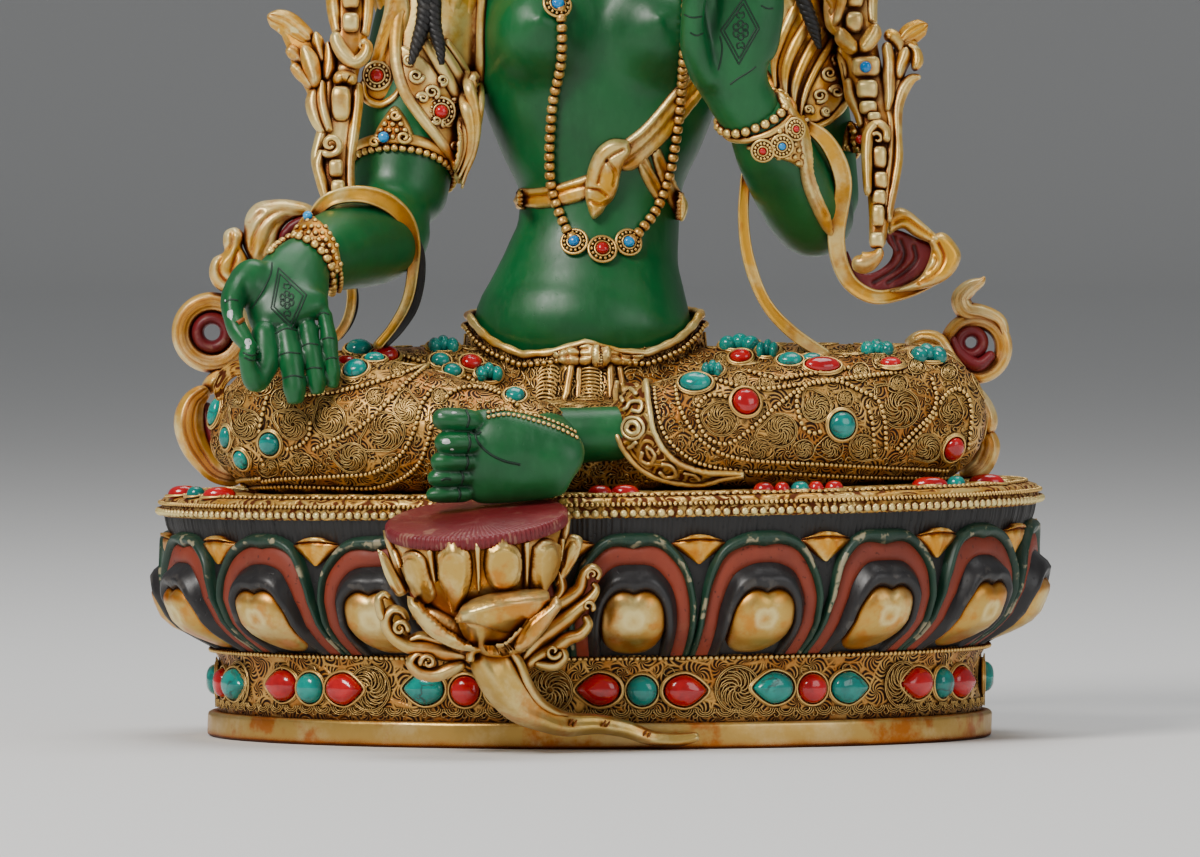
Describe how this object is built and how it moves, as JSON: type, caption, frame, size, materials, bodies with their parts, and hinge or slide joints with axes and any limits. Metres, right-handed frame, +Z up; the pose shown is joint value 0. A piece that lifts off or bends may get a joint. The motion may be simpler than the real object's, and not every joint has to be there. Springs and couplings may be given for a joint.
{
  "type": "seated green tara figure",
  "caption": "Seated green-skinned goddess in royal ease on an oval lotus plinth, one foot on a small lotus, with gilded scarves, flower stalks and inlaid stones.",
  "frame": {"origin": "centre of the flat underside of the plinth", "axes": "+Z up through the figure, the front faces -Y, +X towards the figure's own left"},
  "size_m": [0.1538, 0.1352, 0.2143],
  "materials": {
    "green_paint": "satin green paint with gilded dress and jewels",
    "lotus_paint": "painted petals, gilded plates and wire work",
    "gilding": "worn gilding with orange patina",
    "coral": "polished red",
    "turquoise": "polished turquoise with dark veins"
  },
  "bodies": {
    "root": {"plinth": "lotus_paint", "figure": "green_paint", "foot_lotus": "gilding", "flower_stalk_right": "gilding", "flower_stalk_left": "gilding", "drum_stone_1": "turquoise", "drum_stone_2": "coral", "drum_stone_3": "turquoise", "drum_stone_4": "coral", "drum_stone_5": "turquoise", "drum_stone_6": "coral", "drum_stone_7": "turquoise", "drum_stone_8": "coral", "drum_stone_9": "turquoise", "drum_stone_10": "coral", "drum_stone_11": "turquoise", "drum_stone_12": "coral", "drum_stone_13": "turquoise", "drum_stone_14": "coral", "drum_stone_15": "turquoise", "drum_stone_16": "coral", "drum_stone_17": "turquoise", "drum_stone_18": "coral", "drum_stone_19": "turquoise", "drum_stone_20": "coral", "drum_stone_21": "turquoise", "skirt_stone_1": "turquoise", "skirt_stone_2": "coral", "skirt_stone_3": "turquoise", "skirt_stone_4": "turquoise", "skirt_stone_5": "coral", "skirt_stone_6": "turquoise", "skirt_stone_7": "turquoise", "skirt_stone_8": "turquoise", "skirt_stone_9": "turquoise", "skirt_stone_10": "turquoise", "skirt_stone_11": "turquoise", "skirt_stone_12": "turquoise", "skirt_stone_13": "coral", "skirt_stone_14": "turquoise", "skirt_stone_15": "coral", "skirt_stone_16": "turquoise", "skirt_stone_17": "turquoise", "skirt_stone_18": "turquoise", "skirt_stone_19": "coral", "plate_stone_1": "coral", "plate_stone_2": "turquoise", "plate_stone_3": "coral", "plate_stone_4": "coral", "plate_stone_5": "coral", "plate_stone_6": "turquoise", "plate_stone_7": "coral", "plate_stone_8": "coral", "plate_stone_9": "coral", "plate_stone_10": "turquoise", "plate_stone_11": "coral", "plate_stone_12": "coral", "plate_stone_13": "coral"}
  },
  "joints": []
}
